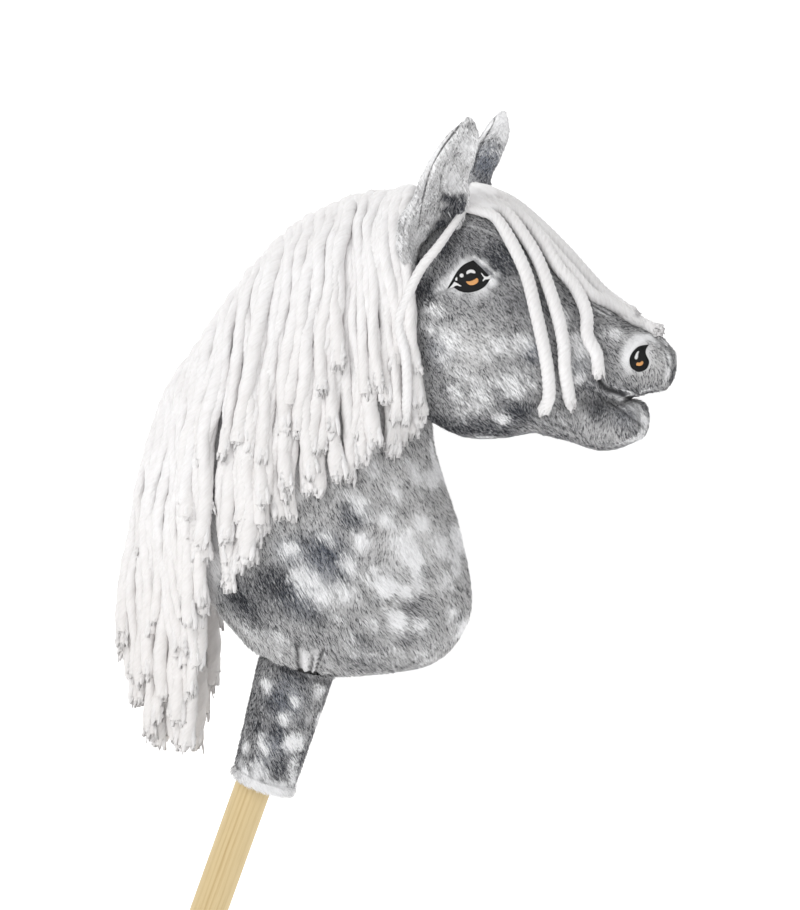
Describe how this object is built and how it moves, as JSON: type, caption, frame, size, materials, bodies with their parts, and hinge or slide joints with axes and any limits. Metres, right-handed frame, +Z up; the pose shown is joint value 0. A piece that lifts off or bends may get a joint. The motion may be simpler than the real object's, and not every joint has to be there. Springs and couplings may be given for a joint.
{
  "type": "hobby horse",
  "caption": "Hobby horse to ride astride: a stuffed grey plush horse's head and neck with a white yarn mane and forelock, gathered on to a round wooden stick.",
  "frame": {"origin": "centre of the lower end face of the stick", "axes": "+Z up with the toy held as it is ridden, the stick leaning 20 degrees forward; +X the way the horse faces; +Y the horse's left side"},
  "size_m": [0.4799, 0.1432, 0.9444],
  "materials": {
    "pine": "planed and sanded, unvarnished",
    "neck_plush": "short dapple-grey plush",
    "head_plush": "short dapple-grey plush, darker than the neck",
    "jaw_plush": "short grey plush",
    "lining_plush": "paler short plush",
    "ear_plush": "short pale grey plush",
    "ear_lining_plush": "short mottled grey plush",
    "sleeve_plush": "short dapple-grey plush",
    "hem_pile": "white pile at the turned edge",
    "tie_nylon": "moulded nylon",
    "black_embroidery": "satin-stitched thread, half gloss",
    "cotton_tape": "plain woven tape",
    "white_yarn": "thick soft twisted yarn"
  },
  "bodies": {
    "root": {"stick": "pine", "neck": "neck_plush", "head": "head_plush", "lower_jaw": "jaw_plush", "mouth_lining": "lining_plush", "ear_back_right": "ear_plush", "ear_back_left": "ear_plush", "ear_lining_right": "ear_lining_plush", "ear_lining_left": "ear_lining_plush", "sleeve": "sleeve_plush", "sleeve_hem": "hem_pile", "stick_tie": "tie_nylon", "eye_right": "black_embroidery", "eye_left": "black_embroidery", "nostril_right": "black_embroidery", "nostril_left": "black_embroidery", "mane_tape": "cotton_tape", "mane_right": "white_yarn", "mane_left": "white_yarn", "forelock_tape": "cotton_tape", "forelock_right_1": "white_yarn", "forelock_right_2": "white_yarn", "forelock_right_3": "white_yarn", "forelock_right_4": "white_yarn", "forelock_left_1": "white_yarn", "forelock_left_2": "white_yarn", "forelock_left_3": "white_yarn", "forelock_left_4": "white_yarn"}
  },
  "joints": []
}
